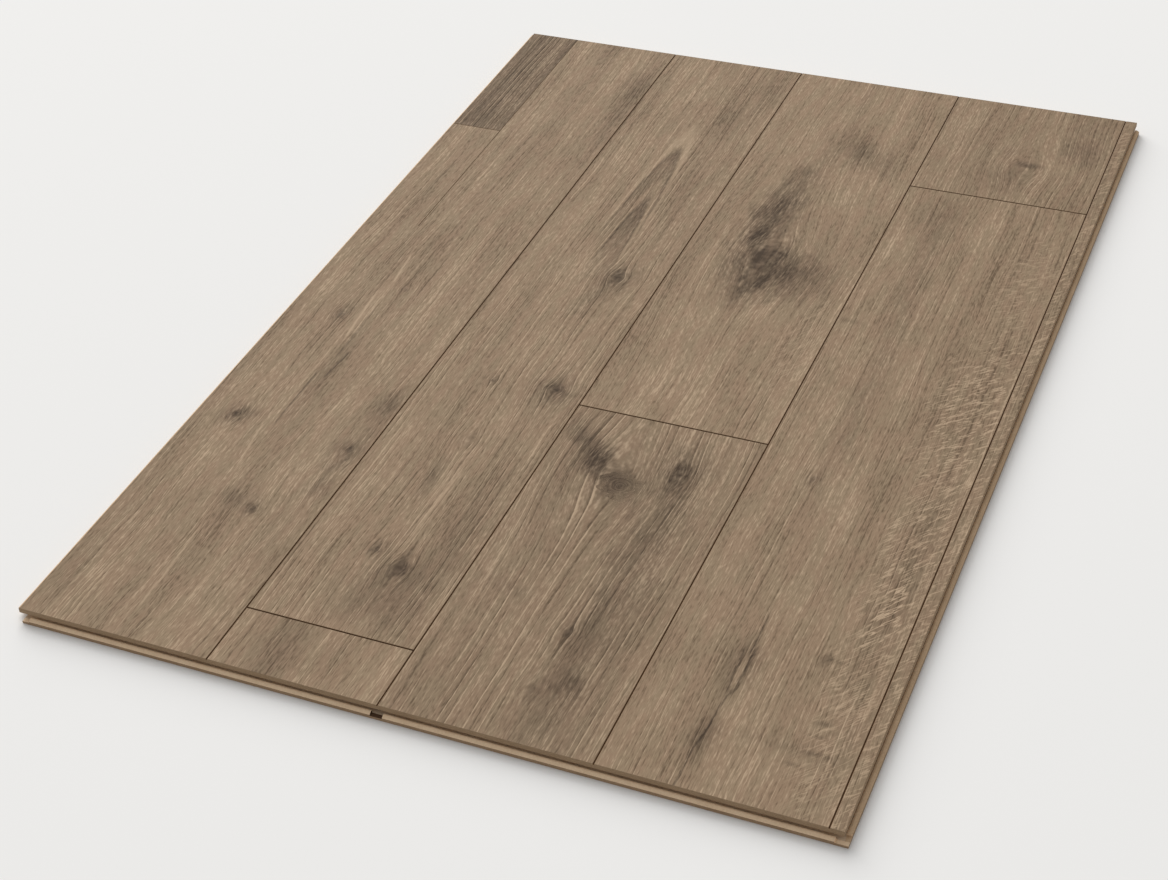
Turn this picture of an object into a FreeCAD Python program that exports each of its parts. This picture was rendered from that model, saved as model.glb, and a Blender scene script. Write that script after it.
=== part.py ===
"""A wide laminate floorboard: one pressed board whose face shows several planks.

The board is made as the factory makes it. A plain slab is pressed, its two long sides and its two
ends are milled to a click profile, the profile is trimmed near the corners, and V-grooves are pressed
into the face between the planks.

Frame: millimetres, +Z up, +Y along the board. The origin lies on the underside, below the middle of
the face. The groove sides face +X and -Y, the tongue sides face -X and +Y.
"""
import FreeCAD, Part
import Sketcher
import os

NODE = "floorboard"

# Driving sizes, in millimetres: name, number and what it measures.
SIZES = [
    ("plank_one", "152", "width of the first plank from the left side"),
    ("plank_two", "129.5", "width of the second plank"),
    ("plank_three", "153.5", "width of the third plank"),
    ("plank_four", "155", "width of the fourth plank"),
    ("edge_strip", "10", "width of the narrow strip along the right side"),
    ("slim_plank", "48", "width of the slim plank at the left of the back end"),
    ("face_length", "900", "length of the face"),
    ("upper_lip", "3.7", "height of the lip above the groove, face included"),
    ("groove_height", "4.3", "height of the groove"),
    ("lower_lip", "2", "height of the lip below the groove"),
    ("groove_depth", "4.65", "depth of the groove, in from the edge of the face"),
    ("lip_reach", "3.3", "reach of the lower lip, out from the edge of the face"),
    ("bead_inset", "0.5", "place of the bead's locking flank, in from the edge of the face"),
    ("bead_rise", "2", "height of the locking bead above the lower lip"),
    ("bead_crown", "1.6", "width of the bead's level crown"),
    ("lip_end_rise", "0.8", "height of the bead above the lower lip at its outer end"),
    ("bead_round", "0.6", "radius along the bead's crown"),
    ("nose_round", "1.6", "radius along the tongue's nose"),
    ("joint_play", "0.15", "play between tongue and groove of two boards"),
    ("edge_ease", "0.4", "bevel around the face"),
    ("left_trim", "9", "length of bead trimmed away at the left corner"),
    ("seam_trim", "9", "length of bead trimmed away below the second seam"),
    ("right_trim", "5.6", "length of bead and tongue trimmed away at the right corners"),
    ("seam_width", "1.5", "width of a seam between planks, at the face"),
    ("seam_depth", "0.75", "depth of a seam between planks"),
    ("slim_seam_width", "0.9", "width of the seam beside the slim plank"),
    ("slim_seam_depth", "0.4", "depth of the seam beside the slim plank"),
    ("slim_seam_length", "362", "length of the seam beside the slim plank, from the back end"),
    ("slim_plank_length", "189", "length of the slim plank, from the back end"),
    ("front_joint", "55", "end joint in the second plank, from the front end"),
    ("middle_joint", "344", "end joint in the third plank, from the front end"),
    ("back_joint", "168", "end joint in the fourth plank, from the back end"),
    ("cutter_run", "2", "run of a cutter past the stock"),
]

# Lengths that follow from the driving sizes, as expressions for the sketches.
FACE_WIDTH = " + ".join(
    f"Sizes.{name}" for name in ("plank_one", "plank_two", "plank_three", "plank_four", "edge_strip")
)
HALF_WIDTH = f"({FACE_WIDTH}) / 2"
HALF_LENGTH = "Sizes.face_length / 2"
GROOVE_ROOF = "Sizes.lower_lip + Sizes.groove_height"
FACE = f"{GROOVE_ROOF} + Sizes.upper_lip"
BEAD_TOP = "Sizes.lower_lip + Sizes.bead_rise"
TONGUE_REACH = "(Sizes.groove_depth - Sizes.joint_play)"
PAST_FACE = f"{FACE} + Sizes.cutter_run"

# Seams between planks, as distances from the middle of the face.
FIRST_SEAM = f"Sizes.plank_one - {HALF_WIDTH}"
SECOND_SEAM = f"{FIRST_SEAM} + Sizes.plank_two"
THIRD_SEAM = f"{SECOND_SEAM} + Sizes.plank_three"
FOURTH_SEAM = f"{THIRD_SEAM} + Sizes.plank_four"
SLIM_SEAM = f"Sizes.slim_plank - {HALF_WIDTH}"

# A corner's place before its expression is set, and the gap below which two places are one.
START_PLACE = 1.0
NEAR = 1e-4


def make_sheet(doc):
    """The sheet of driving sizes, one row for each."""
    sheet = doc.addObject("Spreadsheet::Sheet", "Sizes")
    for row, (name, number, meaning) in enumerate(SIZES, start=1):
        sheet.set(f"A{row}", meaning)
        sheet.set(f"B{row}", number)
        sheet.setAlias(f"B{row}", name)
    doc.recompute()
    return sheet


def origin_plane(body, role):
    """The body's own origin plane with this role."""
    return next(plane for plane in body.Origin.OriginFeatures if plane.Role == role)


def draw_outline(sketch, points):
    """A closed outline with straight sides; each point is an (across, up) pair of expressions."""
    first = len(sketch.Geometry)
    count = len(points)
    # The sides start along a curve, and the expressions then carry each corner to its place.
    for corner in range(count):
        start = FreeCAD.Vector(first + corner, corner * corner, 0)
        end = FreeCAD.Vector(first + corner + 1, (corner + 1) * (corner + 1), 0)
        sketch.addGeometry(Part.LineSegment(start, end), False)
    for corner in range(count):
        following = (corner + 1) % count
        sketch.addConstraint(Sketcher.Constraint("Coincident", first + corner, 2, first + following, 1))
    for corner, (across, up) in enumerate(points):
        for direction, expression in (("DistanceX", across), ("DistanceY", up)):
            number = sketch.addConstraint(Sketcher.Constraint(direction, first + corner, 1, START_PLACE))
            sketch.setExpression(f"Constraints[{number}]", expression)


def make_sketch(body, name, role, outlines, lift="0"):
    """A sketch of closed outlines on an origin plane, lifted off it along the plane's normal."""
    sketch = body.newObject("Sketcher::SketchObject", name)
    sketch.AttachmentSupport = [(origin_plane(body, role), "")]
    sketch.MapMode = "FlatFace"
    sketch.setExpression("AttachmentOffset.Base.z", lift)
    for points in outlines:
        draw_outline(sketch, points)
    body.Document.recompute()
    return sketch


def rectangle(left, right, low, high):
    """The four corners of an upright rectangle."""
    return [(left, low), (right, low), (right, high), (left, high)]


def seam_section(middle, width, depth):
    """A V open at the face, carried on above it along the same slopes."""
    spread = f"{width} / 2 * ({depth} + Sizes.cutter_run) / {depth}"
    return [
        (middle, f"{FACE} - {depth}"),
        (f"{middle} + {spread}", PAST_FACE),
        (f"{middle} - ({spread})", PAST_FACE),
    ]


def at_edge(edge, outward, steps):
    """Carry steps measured out from an edge of the face to that edge; outward is 1 or -1."""
    return [(f"{outward} * ({edge} + {out})", up) for out, up in steps]


def groove_steps():
    """What is milled off a groove side: the bevel, the groove and the room over the lower lip."""
    lip_end = "Sizes.lower_lip + Sizes.lip_end_rise"
    return [
        ("-(Sizes.edge_ease + Sizes.cutter_run)", PAST_FACE),
        ("0", f"{FACE} - Sizes.edge_ease"),
        ("0", GROOVE_ROOF),
        ("-Sizes.groove_depth", GROOVE_ROOF),
        ("-Sizes.groove_depth", "Sizes.lower_lip"),
        ("-Sizes.bead_inset", "Sizes.lower_lip"),
        ("-Sizes.bead_inset", BEAD_TOP),
        ("(Sizes.bead_crown - Sizes.bead_inset)", BEAD_TOP),
        ("Sizes.lip_reach", lip_end),
        ("(Sizes.lip_reach + Sizes.cutter_run)", lip_end),
        ("(Sizes.lip_reach + Sizes.cutter_run)", PAST_FACE),
    ]


def tongue_steps():
    """What is milled off a tongue side, so that the tongue hooks behind another board's bead."""
    tongue_top = f"{GROOVE_ROOF} - Sizes.joint_play"
    hook_low = "Sizes.lower_lip + Sizes.joint_play"
    hook_flank = "(Sizes.bead_inset + Sizes.joint_play)"
    relief_roof = f"{BEAD_TOP} + Sizes.joint_play"
    relief_depth = "-(Sizes.lip_reach + Sizes.joint_play)"
    return [
        ("-(Sizes.edge_ease + Sizes.cutter_run)", PAST_FACE),
        ("0", f"{FACE} - Sizes.edge_ease"),
        ("0", tongue_top),
        (TONGUE_REACH, tongue_top),
        (TONGUE_REACH, hook_low),
        (hook_flank, hook_low),
        (hook_flank, relief_roof),
        (relief_depth, relief_roof),
        (relief_depth, "-Sizes.cutter_run"),
        (f"({TONGUE_REACH} + Sizes.cutter_run)", "-Sizes.cutter_run"),
        (f"({TONGUE_REACH} + Sizes.cutter_run)", PAST_FACE),
    ]


def press_slab(body):
    """The plain slab, out to the ends of the tongues and lips."""
    sketch = make_sketch(body, "SlabOutline", "XY_Plane", [rectangle(
        f"-({HALF_WIDTH} + {TONGUE_REACH})",
        f"{HALF_WIDTH} + Sizes.lip_reach",
        f"-({HALF_LENGTH} + Sizes.lip_reach)",
        f"{HALF_LENGTH} + {TONGUE_REACH}",
    )])
    slab = body.newObject("PartDesign::Pad", "Slab")
    slab.Profile = sketch
    slab.setExpression("Length", FACE)
    body.Document.recompute()
    return slab


def cut_through(body, name, sketch):
    """Cut a sketch's outlines through the whole board, both ways from its plane."""
    pocket = body.newObject("PartDesign::Pocket", name)
    pocket.Profile = sketch
    pocket.SideType = "Symmetric"
    pocket.Type = "ThroughAll"
    body.Document.recompute()
    return pocket


def cut_along(body, name, sketch, length):
    """Cut a sketch's outlines along its plane's normal by this length."""
    pocket = body.newObject("PartDesign::Pocket", name)
    pocket.Profile = sketch
    pocket.Reversed = True
    pocket.setExpression("Length", length)
    body.Document.recompute()
    return pocket


def mill_sides(body):
    """The click profile: both long sides, then both ends, each by outlines run right through."""
    long_sides = make_sketch(body, "LongSideOutlines", "XZ_Plane", [
        at_edge(HALF_WIDTH, 1, groove_steps()),
        at_edge(HALF_WIDTH, -1, tongue_steps()),
    ])
    cut_through(body, "LongSides", long_sides)
    ends = make_sketch(body, "EndOutlines", "YZ_Plane", [
        at_edge(HALF_LENGTH, -1, groove_steps()),
        at_edge(HALF_LENGTH, 1, tongue_steps()),
    ])
    cut_through(body, "Ends", ends)
    return long_sides, ends


def trim_profile(body):
    """Bead and tongue trimmed near the corners, and the bead below the second seam."""
    past_left = f"-({HALF_WIDTH} + {TONGUE_REACH} + Sizes.cutter_run)"
    past_right = f"{HALF_WIDTH} + Sizes.lip_reach + Sizes.cutter_run"
    right_stop = f"{HALF_WIDTH} - Sizes.right_trim"
    past_front = f"-({HALF_LENGTH} + Sizes.lip_reach + Sizes.cutter_run)"
    groove_root = f"-({HALF_LENGTH} - Sizes.groove_depth)"
    past_back = f"{HALF_LENGTH} + {TONGUE_REACH} + Sizes.cutter_run"
    sketch = make_sketch(body, "TrimOutlines", "XY_Plane", [
        rectangle(past_left, f"Sizes.left_trim - {HALF_WIDTH}", past_front, groove_root),
        rectangle(
            f"{SECOND_SEAM} - Sizes.seam_trim / 2",
            f"{SECOND_SEAM} + Sizes.seam_trim / 2",
            past_front,
            groove_root,
        ),
        rectangle(right_stop, past_right, past_front, groove_root),
        rectangle(right_stop, past_right, HALF_LENGTH, past_back),
    ], lift="Sizes.lower_lip")
    return cut_along(body, "Trims", sketch, "Sizes.groove_height")


def corner_edges(shape, sketch, corner):
    """Names of the straight edges that one corner of an outline left along its cut."""
    place = sketch.Placement
    run = place.Rotation.multVec(FreeCAD.Vector(0, 0, 1))
    on_edge = place.multVec(sketch.Geometry[corner].StartPoint)
    names = []
    for number, edge in enumerate(shape.Edges, start=1):
        ends = [vertex.Point for vertex in edge.Vertexes]
        gaps = [(end - on_edge).cross(run).Length for end in ends]
        if len(ends) == 2 and max(gaps) < NEAR:
            names.append(f"Edge{number}")
    return names


def round_edges(body, name, base, sketches, corners, radius):
    """Round the edges that these corners left; corners count from the start of each sketch."""
    names = []
    for sketch in sketches:
        for corner in corners:
            names += corner_edges(base.Shape, sketch, corner)
    rounding = body.newObject("PartDesign::Fillet", name)
    rounding.Base = (base, names)
    rounding.setExpression("Radius", radius)
    body.Document.recompute()
    return rounding


def press_seams(body):
    """V-grooves between the planks: along the board, across it, and the finer one at the slim plank."""
    seam = ("Sizes.seam_width", "Sizes.seam_depth")
    slim = ("Sizes.slim_seam_width", "Sizes.slim_seam_depth")
    lengthwise = make_sketch(body, "SeamSections", "XZ_Plane", [
        seam_section(middle, *seam) for middle in (FIRST_SEAM, SECOND_SEAM, THIRD_SEAM, FOURTH_SEAM)
    ])
    cut_through(body, "Seams", lengthwise)

    slim_side = make_sketch(
        body, "SlimSeamSection", "XZ_Plane", [seam_section(SLIM_SEAM, *slim)],
        lift=f"-({HALF_LENGTH} + Sizes.cutter_run)",
    )
    cut_along(body, "SlimSeam", slim_side, "Sizes.slim_seam_length + Sizes.cutter_run")

    joints = [
        ("FrontJoint", f"Sizes.front_joint - {HALF_LENGTH}", FIRST_SEAM, "Sizes.plank_two", seam),
        ("MiddleJoint", f"Sizes.middle_joint - {HALF_LENGTH}", SECOND_SEAM, "Sizes.plank_three", seam),
        ("BackJoint", f"{HALF_LENGTH} - Sizes.back_joint", THIRD_SEAM, "Sizes.plank_four", seam),
        (
            "SlimJoint",
            f"{HALF_LENGTH} - Sizes.slim_plank_length",
            f"-({HALF_WIDTH} + Sizes.cutter_run)",
            "Sizes.slim_plank + Sizes.cutter_run",
            slim,
        ),
    ]
    for name, along, left, length, size in joints:
        section = make_sketch(body, f"{name}Section", "YZ_Plane", [seam_section(along, *size)], lift=left)
        cut_along(body, name, section, length)


def make_floorboard(doc):
    """The whole board as one body."""
    body = doc.addObject("PartDesign::Body", "Floorboard")
    body.Label = NODE
    press_slab(body)
    long_sides, ends = mill_sides(body)
    trimmed = trim_profile(body)
    groove = groove_steps()
    bead_corners = [corner for corner, (_, up) in enumerate(groove) if up == BEAD_TOP]
    nose_corners = [
        len(groove) + corner for corner, (out, _) in enumerate(tongue_steps()) if out == TONGUE_REACH
    ]
    beaded = round_edges(body, "BeadRound", trimmed, (long_sides, ends), bead_corners, "Sizes.bead_round")
    round_edges(body, "NoseRound", beaded, (long_sides, ends), nose_corners, "Sizes.nose_round")
    press_seams(body)
    body.Placement = FreeCAD.Placement()
    doc.recompute()
    return body


def check(doc, body):
    """Stop if any feature failed or the board isn't one sound solid."""
    failed = [item.Name for item in doc.Objects if {"Invalid", "Error"} & set(item.State)]
    if failed:
        raise RuntimeError(f"failed features: {failed}")
    if body.Shape.isNull() or not body.Shape.isValid():
        raise RuntimeError("the board's shape is not sound")
    if len(body.Shape.Solids) != 1:
        raise RuntimeError(f"the board is {len(body.Shape.Solids)} solids")


def check_cuts(body):
    """Stop if a feature after the slab took nothing away."""
    volume = None
    for feature in body.Group:
        if not feature.isDerivedFrom("PartDesign::Feature"):
            continue
        if volume is not None and feature.Shape.Volume >= volume:
            raise RuntimeError(f"{feature.Name} takes nothing away")
        volume = feature.Shape.Volume


def main():
    doc = FreeCAD.newDocument("Floorboard")
    make_sheet(doc)
    body = make_floorboard(doc)
    check(doc, body)
    check_cuts(body)
    os.makedirs("parts", exist_ok=True)
    body.Shape.exportStep(os.path.join("parts", f"{NODE}.step"))
    box = body.Shape.BoundBox
    print(f"{NODE}: {box.XLength:.2f} x {box.YLength:.2f} x {box.ZLength:.2f} mm,"
          f" {body.Shape.Volume / 1000:.1f} cm3, {len(body.Shape.Faces)} faces")


main()
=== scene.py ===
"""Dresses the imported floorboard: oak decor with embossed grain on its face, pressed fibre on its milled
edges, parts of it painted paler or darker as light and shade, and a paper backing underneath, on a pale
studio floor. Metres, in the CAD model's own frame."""

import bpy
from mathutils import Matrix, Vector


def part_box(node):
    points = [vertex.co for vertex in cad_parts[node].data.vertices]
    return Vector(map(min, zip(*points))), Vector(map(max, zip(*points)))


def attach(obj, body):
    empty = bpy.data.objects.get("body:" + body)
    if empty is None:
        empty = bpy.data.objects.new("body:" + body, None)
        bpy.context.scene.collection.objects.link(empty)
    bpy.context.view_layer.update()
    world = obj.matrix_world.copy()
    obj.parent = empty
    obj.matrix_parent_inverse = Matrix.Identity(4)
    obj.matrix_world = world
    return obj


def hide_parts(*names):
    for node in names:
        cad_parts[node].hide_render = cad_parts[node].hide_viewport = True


bl_info = {
    "name": "Oak Floorboard Finish",
    "version": (1, 0, 0),
    "blender": (4, 5, 0),
    "location": "3D View > Sidebar > Floorboard",
    "description": "Dresses a packed floorboard in oak decor and sets a pale studio around it",
    "category": "Object",
}

import math
from typing import NamedTuple

import bmesh
import bpy
from bpy.props import FloatProperty, FloatVectorProperty, PointerProperty
from mathutils import Vector, noise

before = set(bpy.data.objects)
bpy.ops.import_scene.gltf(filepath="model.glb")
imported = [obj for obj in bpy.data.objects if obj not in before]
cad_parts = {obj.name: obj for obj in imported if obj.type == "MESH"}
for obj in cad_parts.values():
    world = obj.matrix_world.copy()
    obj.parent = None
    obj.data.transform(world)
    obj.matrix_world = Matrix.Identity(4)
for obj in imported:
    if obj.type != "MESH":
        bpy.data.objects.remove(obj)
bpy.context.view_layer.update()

BOARD = "floorboard"
# The lip's outer faces and the trimmed notch are fibre painted darker as shade; the bead and the groove
# walls are fibre painted paler as light.
EDGE_FINISHES = (
    "seam_paint", "eased_rim", "fibre_core", "bead_painted_light",
    "groove_wall_painted_light", "trim_painted_shade", "lip_face_painted_shade", "backing_paper")

# A normal with a Z above this is flat, and points nearer than the weld are one.
FLAT = 0.99
WELD = 1e-6
WELD_ANGLE = math.radians(0.5)
SHARP_ANGLE = math.radians(25)

# Where finishes change: the rim round the face, the trimmed place of the bead, the top of a seam's walls.
RIM = 0.0006
TRIM = (0.277, 0.286)
TRIM_DEPTH = 0.004
SEAM_SHOULDER = 0.0002

# Furrows of the mesh, as many a metre across and along.
FURROWS = (210, 4)
FINE_FURROWS = (330, 7)

# How marks tint the wood, and how the finished surfaces shine and feel.
SMOKE_FILL = 0.3
KNOT_CORE = 1.1
EYE_RINGS = 2.5
SEED_STEP = 5.0
OAK_SPECULAR = 0.05
OAK_BUMP_DEPTH = 0.0004
OAK_BUMP_STRENGTH = 0.7
FIBRE_SPECULAR = 0.2
FIBRE_BUMP_STRENGTH = 0.5
FLOOR_ROUGHNESS = 0.9
FLOOR_GAP = 0.0001

NODE_STEP = 180
NODE_ROWS = 12


def screen(red, green, blue):
    """A screen colour of 0 to 255 a channel as the linear colour that Blender works in."""
    shares = [channel / 255 for channel in (red, green, blue)]
    return tuple(s / 12.92 if s <= 0.04045 else ((s + 0.055) / 1.055) ** 2.4 for s in shares)


class Knot(NamedTuple):
    """A knot: the grain flows round it, and it is darker than the wood. Places are from the face's front
    left corner."""

    at_across: float
    at_along: float
    radius: float
    dark: float
    stretch: float = 1.3
    push: float = 0.8
    smear: float = 0.5


class Eye(NamedTuple):
    """The eye of a swirl, with growth rings of its own."""

    at_across: float
    at_along: float
    radius: float
    stretch: float


class Patch(NamedTuple):
    """A soft smoky patch, or a pale one where the amount is negative. Lean is how far it runs across in each
    metre along."""

    at_across: float
    at_along: float
    half_width: float
    half_length: float
    amount: float
    lean: float = 0.0


class Hairline(NamedTuple):
    """A thin wandering line along the grain, dark, or pale where the amount is negative."""

    from_across: float
    from_along: float
    to_across: float
    to_along: float
    width: float
    amount: float
    wander: float = 0.002


class Flecks(NamedTuple):
    """A stretch of pale ray flecks: fine wavy lines across the grain. Lean is how far they run along in each
    metre across."""

    at_across: float
    at_along: float
    half_width: float
    half_length: float
    amount: float
    lean: float = 0.5


class Tongue(NamedTuple):
    """A darker pointed tongue of growth: its tip, where its sides run straight, and how fast it closes."""

    at_across: float
    tip: float
    start: float
    closing: float
    length: float
    amount: float


class Plank(NamedTuple):
    """One printed plank of the face: its sides and ends, from the front left corner of the face, and its own
    marks. Tone is its shade, rings how many growth lines it has a metre, growth how strongly they show, and
    waver how far they wander."""

    name: str
    left: float
    right: float
    front: float
    back: float
    tone: float
    rings: float
    growth: float
    waver: float
    marks: tuple


PLANKS = (
    Plank("slim", 0.0, 0.048, 0.711, 0.9, 0.60, 280, 2.6, 0.6, ()),
    Plank("one", 0.0, 0.152, 0.0, 0.9, 0.02, 230, 1.0, 1.6, (
        Knot(0.032, 0.247, 0.0058, 0.64, smear=0.7),
        Patch(0.043, 0.252, 0.012, 0.008, 0.26),
        Knot(0.047, 0.396, 0.0050, 0.50),
        Knot(0.081, 0.445, 0.0036, 0.42, smear=0.1),
        Knot(0.102, 0.150, 0.0040, 0.66),
        Patch(0.084, 0.158, 0.018, 0.014, 0.37),
        Patch(0.142, 0.292, 0.011, 0.028, 0.58),
        Patch(0.138, 0.236, 0.014, 0.026, 0.52),
        Patch(0.134, 0.212, 0.011, 0.007, 0.35),
        Patch(0.137, 0.190, 0.010, 0.022, 0.42),
        Knot(0.138, 0.236, 0.0034, 0.46),
        Knot(0.141, 0.225, 0.0030, 0.36),
        Hairline(0.079, 0.352, 0.075, 0.308, 0.0014, 0.60),
        Hairline(0.0665, 0.325, 0.0675, 0.235, 0.0016, 0.55),
        Hairline(0.057, 0.250, 0.067, 0.185, 0.0015, -0.60, 0.004),
        Hairline(0.076, 0.130, 0.080, 0.020, 0.0015, -0.50, 0.004),
        Hairline(0.062, 0.500, 0.067, 0.450, 0.0016, -0.70),
        Hairline(0.060, 0.440, 0.066, 0.360, 0.0016, -0.70),
        Hairline(0.070, 0.420, 0.072, 0.330, 0.0016, 0.45),
        Patch(0.064, 0.380, 0.010, 0.090, -0.22),
        Patch(0.072, 0.320, 0.008, 0.080, 0.34),
        Patch(0.137, 0.835, 0.012, 0.032, 0.24),
        Patch(0.141, 0.765, 0.010, 0.080, 0.18),
        Patch(0.132, 0.130, 0.020, 0.050, 0.12),
        Patch(0.012, 0.070, 0.020, 0.080, 0.14),
        Patch(0.006, 0.300, 0.010, 0.150, 0.12),
    )),
    Plank("two_front", 0.152, 0.2815, 0.0, 0.055, 0.03, 250, 1.0, 1.0, (
        Patch(0.194, 0.024, 0.018, 0.040, 0.27),
        Patch(0.232, 0.034, 0.010, 0.016, 0.15),
        Patch(0.262, 0.018, 0.018, 0.020, -0.12),
    )),
    Plank("two", 0.152, 0.2815, 0.055, 0.9, 0.02, 250, 1.4, 1.0, (
        Tongue(0.219, 0.738, 0.400, 0.060, 0.230, 0.38),
        Tongue(0.223, 0.648, 0.330, 0.047, 0.190, 0.32),
        Knot(0.245, 0.517, 0.0080, 0.54, push=1.0, smear=0.7),
        Patch(0.235, 0.484, 0.012, 0.034, 0.32, lean=0.25),
        Knot(0.257, 0.356, 0.0076, 0.50, stretch=1.1, push=1.0, smear=0.8),
        Patch(0.257, 0.352, 0.024, 0.034, 0.24),
        Knot(0.205, 0.352, 0.0034, 0.55),
        Knot(0.219, 0.277, 0.0060, 0.18, stretch=1.8, push=1.0),
        Patch(0.212, 0.228, 0.006, 0.024, 0.50),
        Knot(0.234, 0.127, 0.0074, 0.43, stretch=1.4, push=1.0, smear=0.8),
        Knot(0.210, 0.140, 0.0040, 0.52),
        Patch(0.235, 0.094, 0.034, 0.034, 0.37),
        Patch(0.264, 0.150, 0.018, 0.100, 0.28),
        Patch(0.227, 0.205, 0.006, 0.060, -0.28),
        Hairline(0.231, 0.250, 0.226, 0.165, 0.0012, -0.45),
        Hairline(0.226, 0.205, 0.222, 0.150, 0.0012, 0.35),
        Patch(0.250, 0.790, 0.020, 0.030, 0.16),
        Patch(0.265, 0.860, 0.014, 0.060, 0.16),
        Patch(0.258, 0.640, 0.018, 0.150, 0.10),
    )),
    Plank("three_front", 0.2815, 0.435, 0.0, 0.344, 0.15, 175, 1.6, 0.8, (
        Knot(0.338, 0.276, 0.0290, 0.0, stretch=1.7, push=0.9),
        Eye(0.348, 0.262, 0.0120, 1.1),
        Patch(0.318, 0.290, 0.014, 0.015, 0.88, lean=-0.5),
        Patch(0.332, 0.274, 0.021, 0.017, 0.84, lean=-0.6),
        Patch(0.348, 0.259, 0.018, 0.018, 0.56),
        Patch(0.342, 0.270, 0.040, 0.050, 0.20),
        Patch(0.302, 0.310, 0.018, 0.020, 0.50, lean=-0.8),
        Knot(0.384, 0.290, 0.0085, 0.56, stretch=1.7, push=0.7),
        Patch(0.386, 0.284, 0.024, 0.050, 0.16),
        Patch(0.391, 0.225, 0.023, 0.085, 0.38),
        Patch(0.392, 0.130, 0.023, 0.100, 0.32),
        Patch(0.392, 0.040, 0.023, 0.070, 0.28),
        Knot(0.373, 0.106, 0.0046, 0.36),
        Patch(0.395, 0.060, 0.013, 0.013, 0.34),
        Knot(0.371, 0.047, 0.0046, 0.20),
        Patch(0.316, 0.134, 0.018, 0.010, 0.20, lean=-1.5),
    )),
    Plank("three_back", 0.2815, 0.435, 0.344, 0.9, 0.0, 210, 0.9, 1.4, (
        Knot(0.352, 0.588, 0.0300, 0.0, stretch=2.0, push=0.9),
        Patch(0.337, 0.660, 0.019, 0.060, 0.92, lean=0.08),
        Patch(0.336, 0.605, 0.024, 0.060, 0.52),
        Patch(0.362, 0.600, 0.042, 0.080, 0.14),
        Patch(0.346, 0.565, 0.026, 0.050, 0.50),
        Patch(0.364, 0.570, 0.026, 0.036, 0.68),
        Patch(0.390, 0.572, 0.025, 0.034, 0.36),
        Patch(0.380, 0.540, 0.034, 0.018, 0.26),
        Patch(0.350, 0.525, 0.014, 0.022, 0.38),
        Patch(0.345, 0.728, 0.018, 0.036, 0.22),
        Patch(0.380, 0.772, 0.028, 0.032, 0.48, lean=-0.6),
        Patch(0.355, 0.860, 0.006, 0.060, 0.18),
        Patch(0.410, 0.565, 0.020, 0.030, 0.18),
        Flecks(0.418, 0.470, 0.018, 0.080, 0.4, lean=1.5),
    )),
    Plank("four", 0.435, 0.59, 0.0, 0.732, 0.02, 240, 1.0, 1.0, (
        Patch(0.480, 0.610, 0.013, 0.120, 0.26),
        Patch(0.485, 0.420, 0.011, 0.130, 0.22),
        Patch(0.470, 0.690, 0.024, 0.036, 0.18),
        Knot(0.479, 0.315, 0.0030, 0.40, smear=0.9),
        Patch(0.447, 0.517, 0.012, 0.005, 0.28),
        Patch(0.494, 0.116, 0.012, 0.030, 0.54),
        Patch(0.4945, 0.110, 0.0040, 0.015, -0.55),
        Hairline(0.4955, 0.172, 0.4955, 0.122, 0.0012, 0.60, 0.004),
        Hairline(0.4910, 0.136, 0.4920, 0.082, 0.0014, 0.60, 0.006),
        Hairline(0.4985, 0.140, 0.4960, 0.082, 0.0016, 0.72, 0.006),
        Hairline(0.4955, 0.098, 0.4905, 0.036, 0.0013, 0.75, 0.006),
        Hairline(0.4905, 0.050, 0.4885, -0.012, 0.0012, 0.62, 0.005),
        Patch(0.491, 0.046, 0.011, 0.022, 0.52),
        Knot(0.545, 0.139, 0.0034, 0.34, stretch=1.8),
        Patch(0.554, 0.139, 0.008, 0.0025, 0.40),
        Patch(0.562, 0.082, 0.0080, 0.0024, 0.50),
        Patch(0.560, 0.070, 0.0060, 0.0022, 0.34),
        Patch(0.564, 0.055, 0.0090, 0.0024, 0.55),
        Patch(0.552, 0.042, 0.0070, 0.0022, 0.40),
        Patch(0.548, 0.056, 0.046, 0.007, 0.20),
        Patch(0.578, 0.260, 0.016, 0.120, 0.14),
        Patch(0.582, 0.080, 0.012, 0.070, 0.14),
        Flecks(0.568, 0.430, 0.036, 0.110, 1.0, lean=0.9),
        Flecks(0.572, 0.260, 0.030, 0.110, 1.0, lean=1.3),
        Flecks(0.572, 0.155, 0.026, 0.080, 0.7, lean=1.2),
        Flecks(0.566, 0.610, 0.026, 0.080, 0.5, lean=0.7),
        Flecks(0.574, 0.070, 0.026, 0.080, 0.6, lean=1.1),
    )),
    Plank("four_back", 0.435, 0.59, 0.732, 0.9, 0.10, 240, 1.0, 1.2, (
        Knot(0.522, 0.791, 0.0160, 0.0, stretch=1.2, push=0.8),
        Patch(0.526, 0.797, 0.013, 0.005, 0.70),
        Patch(0.514, 0.776, 0.022, 0.030, 0.32),
        Patch(0.504, 0.814, 0.008, 0.012, 0.30),
        Patch(0.567, 0.834, 0.020, 0.028, 0.40),
        Patch(0.556, 0.801, 0.022, 0.008, -0.16),
        Patch(0.558, 0.880, 0.012, 0.030, 0.16),
    )),
    Plank("edge_strip", 0.59, 0.6, 0.0, 0.9, 0.10, 240, 1.0, 1.0, (
        Flecks(0.595, 0.450, 0.020, 0.800, 0.8, lean=1.0),
    )),
)


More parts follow.
